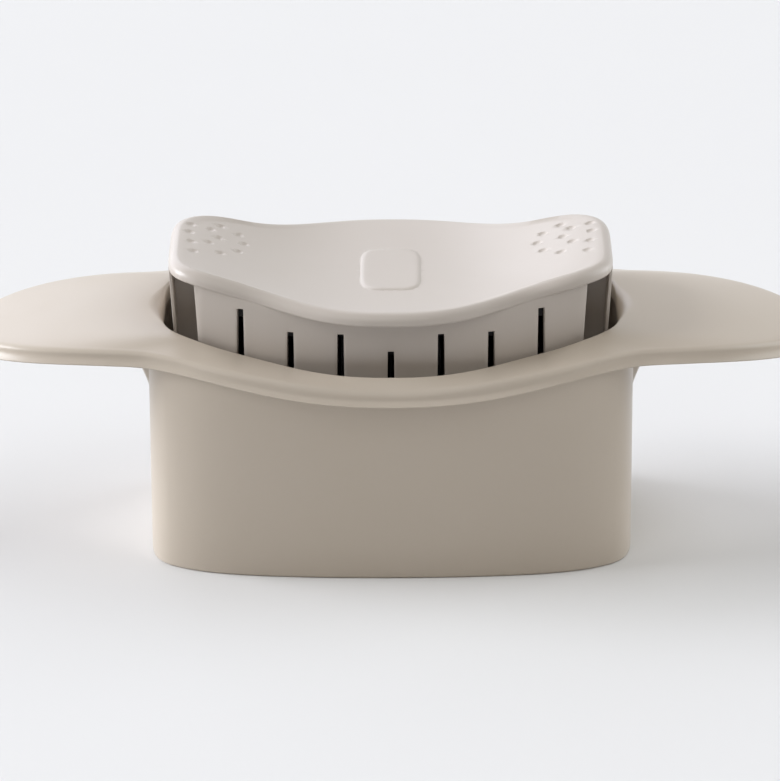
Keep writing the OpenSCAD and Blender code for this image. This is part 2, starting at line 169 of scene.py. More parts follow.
def bow_at(u, grow, half, end, bow, power):
    """The kind of outline that the opening and the plate have: square ends and a bowed middle."""
    b = end + grow
    return outline_at(u, half + grow, b, lambda x: b + bow * bell(x), BOW_TURN, power)


def opening_at(u, grow):
    return bow_at(u, grow, OPEN_HALF, OPEN_END, OPEN_BOW, OPEN_POWER)


def plate_at(u, grow):
    return bow_at(u, grow, PLATE_HALF, PLATE_END, PLATE_BOW, PLATE_POWER)


print("opening", round(2 * OPEN_HALF, 1), "mm long, body", round(2 * BODY_HALF, 1), "mm long")

# %% Outline of the rim and its wings
WING_DEPTH = 36
WING_FROM = 0.6
TIP_POWER = 5
NECK_HALF, NECK_POWER, NECK_EASE = BODY_HALF + 2.2, 2.5, 1.35


def wing_at(u, grow):
    """Point at u of the rim's outer edge, which leaves the body's corner for the wing at WING_FROM."""
    a = WING_HALF + grow
    start_x = BODY_TURN * WING_FROM / SIDE_SHARE * BODY_HALF
    x = start_x * u / WING_FROM
    if u >= WING_FROM:
        x = start_x + (a - start_x) * math.sin(math.pi / 2 * (u - WING_FROM) / (1 - WING_FROM))
    tip = math.sqrt(max(0, 1 - (x / a) ** TIP_POWER))
    neck = max(0, 1 - (x / NECK_HALF) ** NECK_POWER) ** NECK_EASE
    return x, (WING_DEPTH + grow) * tip + (RIM_HALF - WING_DEPTH) * neck


print("wings", 2 * WING_DEPTH, "mm deep, rim", round(2 * RIM_HALF, 1), "mm deep at its middle")

# %% [markdown]
# ## Growing a moulding ring by ring
# A moulded shell has the same kind of section all the way round, so it can be grown like a pot on a
# wheel: a circle of vertices is moved onto the first outline, its edges are extruded into the next
# ring, that ring is moved into place, and so on along the section. Every ring has as many vertices as
# the last, so the mesh is all even quads, which shade smoothly without any subdivision.

# %% Rings
QUARTER = 64
RING = 4 * QUARTER


def around(section):
    """Turns a function of u for one quarter into rings of points for all four quarters."""
    columns = []
    for j in range(RING):
        quarter, step = divmod(j, QUARTER)
        u = step / QUARTER if quarter % 2 == 0 else 1 - step / QUARTER
        flip_x = 1 if quarter < 2 else -1
        flip_y = 1 if quarter in (0, 3) else -1
        columns.append([(x * flip_x, y * flip_y, z) for x, y, z in section(u)])
    return list(zip(*columns))


def place(loop, points):
    for vert, point in zip(loop, points):
        vert.co = Vector(point) * MM


def start_ring(bm, points):
    loop = bmesh.ops.create_circle(bm, cap_ends=False, segments=len(points), radius=1)["verts"]
    place(loop, points)
    return loop


def ring_edges(bm, loop):
    return [bm.edges.get(pair) for pair in zip(loop, loop[1:] + loop[:1])]


def grow_ring(bm, loop, points):
    made = bmesh.ops.extrude_edge_only(bm, edges=ring_edges(bm, loop))["geom"]
    fresh = {part for part in made if isinstance(part, bmesh.types.BMVert)}
    grown = [next(e.other_vert(v) for e in v.link_edges if e.other_vert(v) in fresh) for v in loop]
    place(grown, points)
    return grown


def grow_rings(rings):
    """Grows a shell through all the rings; returns its mesh, first ring and last ring."""
    bm = bmesh.new()
    first = loop = start_ring(bm, rings[0])
    for points in rings[1:]:
        loop = grow_ring(bm, loop, points)
    return bm, first, loop


def close_ring(bm, loop):
    """Fills a small last ring with a fan around one vertex in its middle."""
    made = bmesh.ops.extrude_edge_only(bm, edges=ring_edges(bm, loop))["geom"]
    verts = [part for part in made if isinstance(part, bmesh.types.BMVert)]
    centre = sum((v.co for v in loop), Vector()) / len(loop)
    bmesh.ops.pointmerge(bm, verts=verts, merge_co=centre)


print("each ring has", RING, "vertices")

# %% [markdown]
# ## From bmesh to a piece
# Two more helpers finish every mesh. The first makes it an object, with smooth shading that breaks
# where two faces meet at a real corner. The second joins solids or cuts one out of another with
# Blender's exact Boolean, which is how ribs, bosses and dimples are added to a grown shell.

# %% Objects and Booleans
SHARP_DEGREES = 38
WELD = 1e-7


def as_object(bm, name):
    bmesh.ops.recalc_face_normals(bm, faces=bm.faces)
    for face in bm.faces:
        face.smooth = True
    for edge in bm.edges:
        edge.smooth = len(edge.link_faces) == 2 and edge.calc_face_angle(0) < math.radians(SHARP_DEGREES)
    mesh = bpy.data.meshes.new(name)
    bm.to_mesh(mesh)
    bm.free()
    made = bpy.data.objects.new(name, mesh)
    bpy.context.scene.collection.objects.link(made)
    return made


def combine(base, *steps):
    """Applies ("UNION" or "DIFFERENCE", solid) steps to base and deletes the solids."""
    for operation, solid in steps:
        boolean = base.modifiers.new(operation.lower(), "BOOLEAN")
        boolean.operation = operation
        boolean.solver = "EXACT"
        boolean.object = solid
    depsgraph = bpy.context.evaluated_depsgraph_get()
    result = bpy.data.meshes.new_from_object(base.evaluated_get(depsgraph))
    bm = bmesh.new()
    bm.from_mesh(result)
    bmesh.ops.remove_doubles(bm, verts=bm.verts, dist=WELD)
    bmesh.ops.dissolve_degenerate(bm, edges=bm.edges, dist=WELD)
    name = base.name
    for solid in (base, *[solid for _, solid in steps]):
        bpy.data.objects.remove(solid)
    return as_object(bm, name)


print("edges sharper than", SHARP_DEGREES, "degrees stay crisp")


# %% Boxes and rods
def box(bm, low, high):
    verts = bmesh.ops.create_cube(bm, size=1)["verts"]
    size = [b - a for a, b in zip(low, high)]
    middle = [(a + b) / 2 for a, b in zip(low, high)]
    bmesh.ops.scale(bm, vec=Vector(size) * MM, verts=verts)
    bmesh.ops.translate(bm, vec=Vector(middle) * MM, verts=verts)
    return verts


def rod(bm, x, y, low, high, radius, segments):
    return bmesh.ops.create_cone(
        bm, cap_ends=True, segments=segments, radius1=radius * MM, radius2=radius * MM,
        depth=(high - low) * MM, matrix=Matrix.Translation(Vector((x, y, (low + high) / 2)) * MM))["verts"]


BOSS_SIDES, BORE_SIDES = 40, 32
CORNERS = [(sx, sy) for sx in (-1, 1) for sy in (-1, 1)]
print("bosses have", BOSS_SIDES, "sides and bores", BORE_SIDES)

# %% [markdown]
# ## The housing
# The real housing is one thin moulding: a foot, a straight wall, a small round under the rim, a thin
# bead along the rim's edge, the rim's soft crown, and the lip of the opening the plunger slides in. Away
# from the middle the rim runs out into the two wing handles, and a small web under each wing braces it.
# Joining a box, a rim and two handles would leave seams to smooth over. We write the section once
# instead, with small arcs at every rounding, and grow it all the way round.

# %% Sizes and helpers for the housing's section
WALL = 2.4
RIM_T = 5.0
WING_THIN = 0.6
WING_BLEND_FROM = 25


def quarter_turn(count):
    """Angles of a quarter circle, both ends included."""
    return [math.pi / 2 * k / count for k in range(count + 1)]


def mix(p, q, share):
    return tuple(a + (b - a) * share for a, b in zip(p, q))


def ramp(low, high, x):
    """Smooth step from 0 at low to 1 at high."""
    t = min(1, max(0, (x - low) / (high - low)))
    return t * t * (3 - 2 * t)


def winged(x):
    """0 along the middle of the rim, 1 on the wings."""
    return ramp(WING_BLEND_FROM, BODY_HALF, abs(x))


def rim_under(x):
    """Height of the rim's underside, along its edge."""
    return rim_edge(x) - RIM_T + WING_THIN * winged(x)


print("rim", RIM_T, "mm thick, wings", RIM_T - WING_THIN, "mm")

# %% Foot, wall and underside of the rim
FOOT_R = 0.8
ROOT_R, ROOT_SHARE = 1.2, 0.34
WEB_OUT, WEB_H = 6.6, 15.7
WEB_FROM, WEB_FULL = 0.86, 0.9
WEB_CURVE = 1.25
BEAD_R = 0.4


def fillet_at(u):
    """Width and height of the round under the rim, or of the web under a wing, and the web's share."""
    web = ramp(WEB_FROM, WEB_FULL, u)
    root = min(ROOT_R, ROOT_SHARE * math.dist(body_at(u, 0), wing_at(u, 0))) * (1 - web)
    return root + WEB_OUT * web, root + WEB_H * web, web


def foot_and_wall(u):
    points = []
    for a in quarter_turn(3):
        points.append((*body_at(u, -FOOT_R * (1 - math.sin(a))), FOOT_R * (1 - math.cos(a))))
    wall = body_at(u, 0)
    rise = rim_under(wall[0]) - fillet_at(u)[1]
    return points + [(*wall, FOOT_R + (rise - FOOT_R) * k / 5) for k in range(1, 5)]


def underside(u):
    wall, edge = body_at(u, 0), wing_at(u, 0)
    fillet, fillet_h, web = fillet_at(u)
    fillet_share = fillet / math.dist(wall, edge)
    points = []
    for a in quarter_turn(8):
        t = 2 * a / math.pi
        out = (1 - web) * (1 - math.cos(a)) + web * t ** WEB_CURVE
        below = (1 - web) * (1 - math.sin(a)) + web * (1 - t)
        spot = mix(wall, edge, fillet_share * out)
        points.append((*spot, rim_under(spot[0]) - fillet_h * below))
    start, end = mix(wall, edge, fillet_share), wing_at(u, -BEAD_R)
    for k in range(1, 8):
        spot = mix(start, end, k / 8)
        points.append((*spot, rim_under(spot[0])))
    return points


print("web under each wing:", WEB_OUT, "x", WEB_H, "mm")

# %% Bead, crown and lip of the rim
BEAD_H, BEAD_MORE = 1.9, 0.7
BEAD_OUT, BEAD_SHARE = 1.3, 0.3
CROWN = 2.9
SWELL, SWELL_MORE = 1.15, 0.75
NARROW_RIM, WIDE_RIM = 4, 30
LIP_R, LIP_DROP = 0.7, 1.2
SOFT_FROM, SOFT_R, SOFT_DROP = 0.8, 4.2, 0.75


def lip_round(u):
    """Width and drop of the opening's lip: crisp along the front and back, soft at the ends."""
    soft = SOFT_R * ramp(SOFT_FROM, 1, u)
    return LIP_R + soft, LIP_DROP + SOFT_DROP * soft


def rim_outside(u):
    edge, crown = wing_at(u, 0), wing_at(u, -CROWN)
    bead = min(BEAD_OUT, BEAD_SHARE * math.dist(body_at(u, 0), edge))
    lip_r, lip_drop = lip_round(u)
    lip = opening_at(u, lip_r)
    width = math.dist(crown, lip)
    crown_z = rim_edge(crown[0])
    climb = rim_lip(lip[0]) - crown_z
    swell = SWELL + SWELL_MORE * ramp(NARROW_RIM, WIDE_RIM, width)
    slope = swell * climb / width
    low_z = rim_under(edge[0])
    bead_h = BEAD_H + BEAD_MORE * winged(edge[0])
    groove_z = low_z + BEAD_R + bead_h
    drop = rim_edge(edge[0]) - slope * (CROWN - bead) - groove_z
    points = []
    for a in quarter_turn(3):
        points.append((*wing_at(u, -BEAD_R * (1 - math.sin(a))), low_z + BEAD_R * (1 - math.cos(a))))
    for k in range(1, 6):
        spot = wing_at(u, -bead * (1 - (1 - k / 5) ** 2))
        points.append((*spot, low_z + BEAD_R + bead_h * k / 5))
    for a in quarter_turn(8)[1:]:
        inset = bead + (CROWN - bead) * (1 - math.cos(a))
        spot = wing_at(u, -inset)
        points.append((*spot, rim_edge(spot[0]) - slope * (CROWN - inset) - drop * (1 - math.sin(a))))
    for k in range(1, 14):
        spot = mix(crown, lip, k / 14)
        points.append((*spot, crown_z + climb * (1 - (1 - k / 14) ** swell)))
    for a in quarter_turn(7):
        spot = opening_at(u, lip_r * (1 - math.sin(a)))
        points.append((*spot, rim_lip(spot[0]) - lip_drop * (1 - math.cos(a))))
    return points


print("bead", BEAD_R + BEAD_H, "mm high, crown", CROWN, "mm in from the edge")

# %% Inside and the whole housing
THROAT = 4.7
CEILING = 0.3
FOOT_INNER = 0.6


def inside(u):
    throat, inner = opening_at(u, 0), body_at(u, -WALL)
    lip_z = rim_lip(throat[0])
    inner_z = rim_lip(inner[0]) - RIM_T - CEILING
    points = [(*throat, lip_z - THROAT), (*throat, lip_z - RIM_T)]
    points += [(*inner, inner_z + (FOOT_R - inner_z) * k / 5) for k in range(6)]
    return points + [(*body_at(u, FOOT_INNER - WALL), 0)]


def housing_section(u):
    return foot_and_wall(u) + underside(u) + rim_outside(u) + inside(u)


bm, first, last = grow_rings(around(housing_section))
bmesh.ops.bridge_loops(bm, edges=ring_edges(bm, first) + ring_edges(bm, last))
housing = as_object(bm, "housing_moulding")
print("housing shell:", len(housing.data.polygons), "faces")

# %% [markdown]
# Inside, four upright ribs run in the channels at the plunger's corners and keep it straight, and four
# bosses under the rim take the screws of the blade rails. Ribs and bosses are plain boxes and rods, each
# sunk a little way into the wall, and one Boolean makes them part of the moulding.

# %% Ribs of the housing
SKIRT_INSET, END_INSET = 8.8, 1.3
SKIRT_HALF = PLATE_HALF - SKIRT_INSET
END_OUT, END_T = PLATE_HALF - END_INSET, 0.9
RECESS_Y = 6.0
RIB_PLAY_X, RIB_PLAY_Y = 0.5, 0.6
RIB_X = (SKIRT_HALF + RIB_PLAY_X, END_OUT - END_T - RIB_PLAY_X)
RIB_Y = (RECESS_Y + RIB_PLAY_Y, 30)
RIB_Z = (3.0, 53.9)
ribs = bmesh.new()
for sx, sy in CORNERS:
    xs = sorted(sx * x for x in RIB_X)
    ys = sorted(sy * y for y in RIB_Y)
    for vert in box(ribs, (xs[0], ys[0], RIB_Z[0]), (xs[1], ys[1], RIB_Z[1])):
        if abs(vert.co.y) > sum(RIB_Y) / 2 * MM:
            x = abs(vert.co.x) / MM
            middle = side(x, BODY_HALF - WALL / 2, body_half_depth(x, -WALL / 2), BODY_POWER)
            vert.co.y = sy * middle * MM
print("ribs:", len(CORNERS), "of", round(RIB_X[1] - RIB_X[0], 1), "mm")

# %% Bosses of the housing
RAIL_HEAD_R = 2.8
rail_screw_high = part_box("rail_screws")[1]
RAIL_SCREW = (rail_screw_high.x / MM - RAIL_HEAD_R, rail_screw_high.y / MM - RAIL_HEAD_R)
RAIL_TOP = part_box("front_blade_rail")[1].z / MM
RAIL_BOSS_R, RAIL_BORE_R, RAIL_BORE_DEPTH = 3.2, 1.52, 5.6
SEAT_GAP, BORE_LEAD, RAIL_BOSS_SINK = 0.1, 1, 1
boss_top = rim_lip(RAIL_SCREW[0]) - RIM_T + RAIL_BOSS_SINK
bores = bmesh.new()
for sx, sy in CORNERS:
    x, y = sx * RAIL_SCREW[0], sy * RAIL_SCREW[1]
    rod(ribs, x, y, RAIL_TOP + SEAT_GAP, boss_top, RAIL_BOSS_R, BOSS_SIDES)
    rod(bores, x, y, RAIL_TOP - BORE_LEAD, RAIL_TOP + RAIL_BORE_DEPTH, RAIL_BORE_R, BORE_SIDES)
housing = combine(housing, ("UNION", as_object(ribs, "ribs")), ("DIFFERENCE", as_object(bores, "bores")))
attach(housing, "housing_body")
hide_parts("housing")
print("housing with ribs:", len(housing.data.polygons), "faces")

# %% [markdown]
# ## The plunger's plate
# The plate is what the palms press on: sagging in the middle, dished, and soft at its edge. A grid bent
# into a dish would have steps along its curved outline, so it is grown like the housing, from the middle
# of its underside round the edge to the middle of its top. Over the middle of the slotted walls it will
# stand out like an eave.

# %% Section of the plate
PLATE_R, PLATE_DROP = 2.8, 2.4
PLATE_T, LOWER_R = 3.7, 0.7
PLATE_DISH = 1.8
TOP_RINGS = 30


def plate_half_depth(x):
    return side(x, PLATE_HALF, PLATE_END + PLATE_BOW * bell(x), PLATE_POWER)


def plate_top(x, y):
    """Height of the plate's upper face, dished between the crests of its edges."""
    across = min(1, abs(y) / max(1, plate_half_depth(x) - PLATE_R))
    return plate_edge(x) - PLATE_DISH * (1 - across ** 2) * max(0, 1 - (x / PLATE_HALF) ** 2)


def plate_under(x):
    return plate_edge(x) - PLATE_T


def plate_section(u):
    rim = plate_at(u, 0)
    edge_z = plate_edge(rim[0])
    points = []
    for share in (0.12, 0.25, 0.38, 0.5, 0.62, 0.74, 0.86):
        spot = tuple(v * share for v in rim)
        points.append((*spot, plate_under(spot[0])))
    for a in quarter_turn(5):
        spot = plate_at(u, -LOWER_R * (1 - math.sin(a)))
        points.append((*spot, edge_z - PLATE_T + LOWER_R * (1 - math.cos(a))))
    for a in quarter_turn(8):
        spot = plate_at(u, -PLATE_R * (1 - math.cos(a)))
        points.append((*spot, edge_z - PLATE_DROP * (1 - math.sin(a))))
    crest = plate_at(u, -PLATE_R)
    for k in range(1, TOP_RINGS):
        spot = tuple(v * (1 - k / TOP_RINGS) for v in crest)
        points.append((*spot, plate_top(*spot)))
    return points


bm, first, last = grow_rings(around(plate_section))
close_ring(bm, last)
close_ring(bm, first)
plate = as_object(bm, "plunger_moulding")
print("plate:", len(plate.data.polygons), "faces")

# %% [markdown]
# ## The slotted walls
# Under the plate stand two bowed walls with seven slots each, which let the plunger pass the blades.
# Each wall starts as a grid. Its columns are moved to follow the bow, with a narrow column at every
# slot, and its rows are set at the slots' tops. Deleting the narrow columns below those rows opens the
# slots, thickening the sheet makes it a wall, and a small bevel breaks its sharp corners. Cutting the
# slots with a Boolean would work too, but it leaves long thin faces that are hard to bevel. A slot is a
# little wider at its foot, as a moulded slot has to be to leave its tool. Towards its ends the plate is
# flush with the walls, so each wall runs on up into the plate's edge, and the eave fades away there.

# %% Columns and rows of a slotted wall
SLOTS = 7
SLOT_TOPS = (66.9, 72.0, 72.0, 77.9)
SLOT_HALF, SLOT_FLARE = 0.9, 0.011
SKIRT_LOW = shell_low.z / MM
SKIRT_IN = 9.1
SKIRT_MID, SKIRT_BOW, SKIRT_T = BODY_MID - SKIRT_IN, 9.8, 1.8
SKIRT_R = (SKIRT_HALF ** 2 + SKIRT_BOW ** 2) / (2 * SKIRT_BOW)
END_BAY = 5.1
PITCH = (SKIRT_HALF - END_BAY) / (SLOTS / 2)
BAY_STEPS = 7
EAVE_HAIR, EAVE_BLEND = 0.02, 0.6
PLAIN_ROWS, ROW_BELOW_SLOT = (38, 50), 6
TOP_SINK = 0.15


def wall_y(x):
    """Half depth of a slotted wall's outer face, kept just inside the plate's edge."""
    bowed = math.sqrt(SKIRT_R ** 2 - x * x) - SKIRT_R + SKIRT_MID
    under = plate_half_depth(x) - EAVE_HAIR
    gap = max(0, EAVE_BLEND - abs(bowed - under)) / EAVE_BLEND
    return min(bowed, under) - EAVE_BLEND * gap ** 3 / 6


def wall_columns():
    """x of each column of the wall's grid, with the number of the slot it borders or None."""
    columns = []
    stops = [-SKIRT_HALF] + [i * PITCH for i in range(-(SLOTS // 2), SLOTS // 2 + 1)] + [SKIRT_HALF]
    for left, right in zip(stops, stops[1:]):
        if columns:
            columns.append((left + SLOT_HALF, round(left / PITCH)))
        else:
            columns.append((left, None))
        steps = [left + (right - left) * k / BAY_STEPS for k in range(1, BAY_STEPS)]
        columns += [(x, None) for x in steps]
        columns.append((right - SLOT_HALF, round(right / PITCH)) if right < SKIRT_HALF else (right, None))
    return columns


def wall_rows(x):
    """Heights of the wall's rows at x; the last is just under the round of the plate's edge."""
    low, mid, high = sorted(set(SLOT_TOPS))
    top = plate_edge(x) - PLATE_DROP - TOP_SINK
    return [SKIRT_LOW, *PLAIN_ROWS, low - ROW_BELOW_SLOT, low, mid, high, top]


print("slots:", SLOTS, "at", round(PITCH, 2), "mm, tops from", SLOT_TOPS[0], "to", SLOT_TOPS[3], "mm")

# %% Slotted walls
LEAN, LEAN_FROM = 0.06, 67.0
KEEN_DEGREES = 60
WALL_BREAK = 0.35
NEAR = 0.1


def bowed_grid(facing):
    """A wall's grid with its columns and rows in place, the columns, and each vertex's column."""
    columns = wall_columns()
    rows = len(wall_rows(0))
    bm = bmesh.new()
    bmesh.ops.create_grid(bm, x_segments=len(columns) - 1, y_segments=rows - 1, size=1)
    order = sorted(bm.verts, key=lambda v: (round(v.co.x, 4), v.co.y))
    column_of = {}
    for k, vert in enumerate(order):
        (x, slot), row = columns[k // rows], k % rows
        z = wall_rows(x)[row]
        if slot is not None:
            flare = SLOT_FLARE * max(0, SLOT_TOPS[abs(slot)] - z)
            x += math.copysign(flare, x - slot * PITCH)
        if abs(x) > SKIRT_HALF - NEAR:
            x += math.copysign(LEAN * max(0, z - LEAN_FROM), x)
        vert.co = Vector((x, facing * wall_y(x), z)) * MM
        column_of[vert] = k // rows
    return bm, columns, column_of


def open_slots(bm, columns, column_of):
    """Deletes the faces between the two columns of each slot, up to its top."""
    gone = []
    for face in bm.faces:
        places = [column_of[v] for v in face.verts]
        slot = columns[min(places)][1]
        if slot is not None and slot == columns[max(places)][1]:
            top = max(v.co.z for v in face.verts) / MM
            if top <= SLOT_TOPS[abs(slot)] + NEAR:
                gone.append(face)
    bmesh.ops.delete(bm, geom=gone, context="FACES")


def break_edges(bm, edges, offset, segments):
    bmesh.ops.bevel(bm, geom=edges, offset=offset * MM, offset_type="OFFSET", segments=segments,
                    profile=0.5, affect="EDGES", material=-1, clamp_overlap=True)


def slotted_wall(name, facing):
    bm, columns, column_of = bowed_grid(facing)
    open_slots(bm, columns, column_of)
    bmesh.ops.recalc_face_normals(bm, faces=bm.faces)
    if sum(f.normal.y for f in bm.faces) * facing < 0:
        bmesh.ops.reverse_faces(bm, faces=bm.faces)
    bmesh.ops.solidify(bm, geom=bm.faces[:], thickness=SKIRT_T * MM)
    bmesh.ops.recalc_face_normals(bm, faces=bm.faces)
    keen = math.radians(KEEN_DEGREES)
    edges = [e for e in bm.edges if len(e.link_faces) == 2 and e.calc_face_angle(0) > keen]
    break_edges(bm, edges, WALL_BREAK, 2)
    return as_object(bm, name)


front_wall = slotted_wall("front_wall", -1)
back_wall = slotted_wall("back_wall", 1)
print("slotted wall:", len(front_wall.data.polygons), "faces")

# %% [markdown]
# At each end, two webs step in from the walls and carry a flat end wall, which leaves an open channel at
# every corner for the housing's ribs. Seen from above this is one bent strip, so it is drawn as a single
# face from a few corner points and extruded up into the plate, and its upright edges are rounded a little.

# %% Ends of the plunger
END_Y = 14.5
STRIP_T, STRIP_BREAK = 1.5, 0.2
STRIP_HAIR, STRIP_SINK = 0.05, 1.6
END_TOP = plate_under(SKIRT_HALF) + STRIP_SINK
WALL_END = wall_y(SKIRT_HALF) - SKIRT_T / 2


def strip_outline():
    outer, inner = SKIRT_HALF - STRIP_HAIR, SKIRT_HALF - STRIP_T
    flange, stub = END_OUT - END_T, RECESS_Y - STRIP_T
    half = [(inner, WALL_END), (outer, WALL_END), (outer, RECESS_Y), (flange, RECESS_Y), (flange, END_Y),
            (END_OUT, END_Y)]
    back = [(flange, stub), (inner, stub)]
    return half + [(x, -y) for x, y in reversed(half)] + [(x, -y) for x, y in reversed(back)] + back


def end_strip(name, sx):
    bm = bmesh.new()
    face = bm.faces.new([bm.verts.new(Vector((sx * x, y, SKIRT_LOW)) * MM) for x, y in strip_outline()])
    for low, high in ((SKIRT_LOW, LEAN_FROM), (LEAN_FROM, END_TOP)):
        lifted = bmesh.ops.extrude_face_region(bm, geom=[face])["geom"]
        face = next(part for part in lifted if isinstance(part, bmesh.types.BMFace))
        bmesh.ops.translate(bm, vec=Vector((0, 0, high - low)) * MM, verts=face.verts)
    leaning = [v for v in face.verts if abs(v.co.x) > (END_OUT - END_T - NEAR) * MM]
    bmesh.ops.translate(bm, vec=Vector((sx * LEAN * (END_TOP - LEAN_FROM), 0, 0)) * MM, verts=leaning)
    inner = [f for f in bm.faces if abs(f.calc_center_median().z - LEAN_FROM * MM) < NEAR * MM]
    bmesh.ops.delete(bm, geom=[f for f in inner if abs(f.normal.z) > 0.9], context="FACES_ONLY")
    break_edges(bm, [e for e in bm.edges if abs(e.verts[0].co.z - e.verts[1].co.z) > MM], STRIP_BREAK, 3)
    return as_object(bm, name)


ends = [end_strip("right_end", 1), end_strip("left_end", -1)]
print("end walls at", round(END_OUT, 1), "mm, channels", round(END_OUT - END_T - SKIRT_HALF, 1), "mm wide")

# %% [markdown]
# ## The panel and the thumb dimples
# In the middle of the plate is a small raised panel with rounded corners, left bare. Near each end are
# twelve shallow dimples where the thumbs press. A bump in the finish could fake both, but it wouldn't
# show in a low light or in the exported mesh. The panel is grown from a rounded outline that hugs the
# plate's own curve, and each dimple is a ball pressed into the plate.

# %% Panel
PANEL = (8.4, 16.6)
PANEL_SQUARE = 0.45
PANEL_RING = 96
PANEL_TOP_RINGS = 12
PANEL_EDGE = ((0.5, -1.2), (0.5, 0), (0.35, 0.08), (0.05, 0.22), (-0.35, 0.34), (-0.8, 0.4))


def panel_outline(grow):
    points = []
    for k in range(PANEL_RING):
        a = 2 * math.pi * k / PANEL_RING
        c, s = math.cos(a), math.sin(a)
        points.append((math.copysign(abs(c) ** PANEL_SQUARE, c) * (PANEL[0] + grow),
                       math.copysign(abs(s) ** PANEL_SQUARE, s) * (PANEL[1] + grow)))
    return points


def panel_ring(grow, height, share):
    """The panel's outline, grown and then shrunk to a share, at a height above the plate."""
    spots = [(x * share, y * share) for x, y in panel_outline(grow)]
    return [(x, y, plate_top(x, y) + height) for x, y in spots]


rings = [panel_ring(grow, height, 1) for grow, height in PANEL_EDGE]
rings += [panel_ring(*PANEL_EDGE[-1], 1 - k / PANEL_TOP_RINGS) for k in range(1, PANEL_TOP_RINGS)]
bm, first, last = grow_rings(rings)
close_ring(bm, last)
close_ring(bm, first)
panel = as_object(bm, "panel")
print("panel:", len(panel.data.polygons), "faces")

# %% Dimples
DIMPLES = ((6.1, 15.6), (6, 9.5), (6.6, 2), (7.6, -5.8), (11.9, 14.8), (14.8, 18.8),
           (14.5, 9.6), (11.9, 4.1), (15.3, -2.3), (20.1, 15.8), (21.9, 9.9), (20.4, 2.9))
DIMPLE_HALF, DIMPLE_D = 1.4, 0.4
BALL_R = (DIMPLE_HALF ** 2 + DIMPLE_D ** 2) / (2 * DIMPLE_D)
balls = bmesh.new()
for sx in (-1, 1):
    for inset, y in DIMPLES:
        x = PLATE_HALF - inset
        ball = bmesh.ops.create_uvsphere(balls, u_segments=24, v_segments=16, radius=BALL_R * MM)["verts"]
        z = plate_top(x, y) + BALL_R - DIMPLE_D
        bmesh.ops.translate(balls, vec=Vector((sx * x, y, z)) * MM, verts=ball)
dimples = as_object(balls, "dimples")
print("dimples:", 2 * len(DIMPLES), "of", 2 * DIMPLE_HALF, "mm")

# %% [markdown]
# Under the plate, four bosses take the screws of the pusher comb, and a hole in each end wall takes the
# screw of a stop clip. With all its solids ready, the plunger is joined into one moulding.

# %% Bosses and holes of the plunger
COMB_HEAD_R, COMB_HEAD_H = 2.3, 1.7
TREAD_PLAY, TREAD_T = 0.05, 2
comb_low, comb_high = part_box("comb_screws")
COMB_SCREW = (comb_high.x / MM - COMB_HEAD_R, comb_high.y / MM - COMB_HEAD_R)
TREAD_TOP = comb_low.z / MM + COMB_HEAD_H + TREAD_PLAY + TREAD_T
COMB_BOSS_R, COMB_BORE_R, COMB_BORE_DEPTH = 2.8, 1.27, 3.4
COMB_BOSS_SINK = 0.8
CLIP_UP = 2.3
CLIP_Z = SKIRT_LOW + CLIP_UP
CLIP_BORE_R, CLIP_BORE_HALF = 1.3, 4
boss_top = plate_under(COMB_SCREW[0]) + COMB_BOSS_SINK
bosses, holes = bmesh.new(), bmesh.new()
for sx, sy in CORNERS:
    x, y = sx * COMB_SCREW[0], sy * COMB_SCREW[1]
    rod(bosses, x, y, TREAD_TOP + SEAT_GAP, boss_top, COMB_BOSS_R, BOSS_SIDES)
    rod(holes, x, y, TREAD_TOP - TREAD_T, TREAD_TOP + COMB_BORE_DEPTH, COMB_BORE_R, BORE_SIDES)
for sx in (-1, 1):
    verts = rod(holes, 0, 0, 0, 2 * CLIP_BORE_HALF, CLIP_BORE_R, BORE_SIDES)
    bmesh.ops.rotate(holes, verts=verts, cent=(0, 0, 0), matrix=Matrix.Rotation(math.pi / 2, 3, "Y"))
    bmesh.ops.translate(holes, verts=verts, vec=Vector((sx * END_OUT - CLIP_BORE_HALF, 0, CLIP_Z)) * MM)
print("bosses:", len(CORNERS), "holes:", len(CORNERS) + 2)

# %% Join the plunger
joined = (front_wall, back_wall, *ends, panel, as_object(bosses, "bosses"))
cut = (dimples, as_object(holes, "holes"))
plunger = combine(plate, *[("UNION", solid) for solid in joined], *[("DIFFERENCE", solid) for solid in cut])
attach(plunger, "plunger")
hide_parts("plunger_shell")
print("plunger:", len(plunger.data.polygons), "faces")

# %% [markdown]
# ## Writing shader maths as sums
# A finish is a handful of numbers that vary over the surface. Wiring Math nodes by hand hides the sum they
# work out, so a small class wraps a socket: adding or multiplying two of them adds the Math node. One
# method makes any other node from its type, its settings and its inputs, and two short ones use it for
# the nodes that come up most, noise and a blend of two colours.

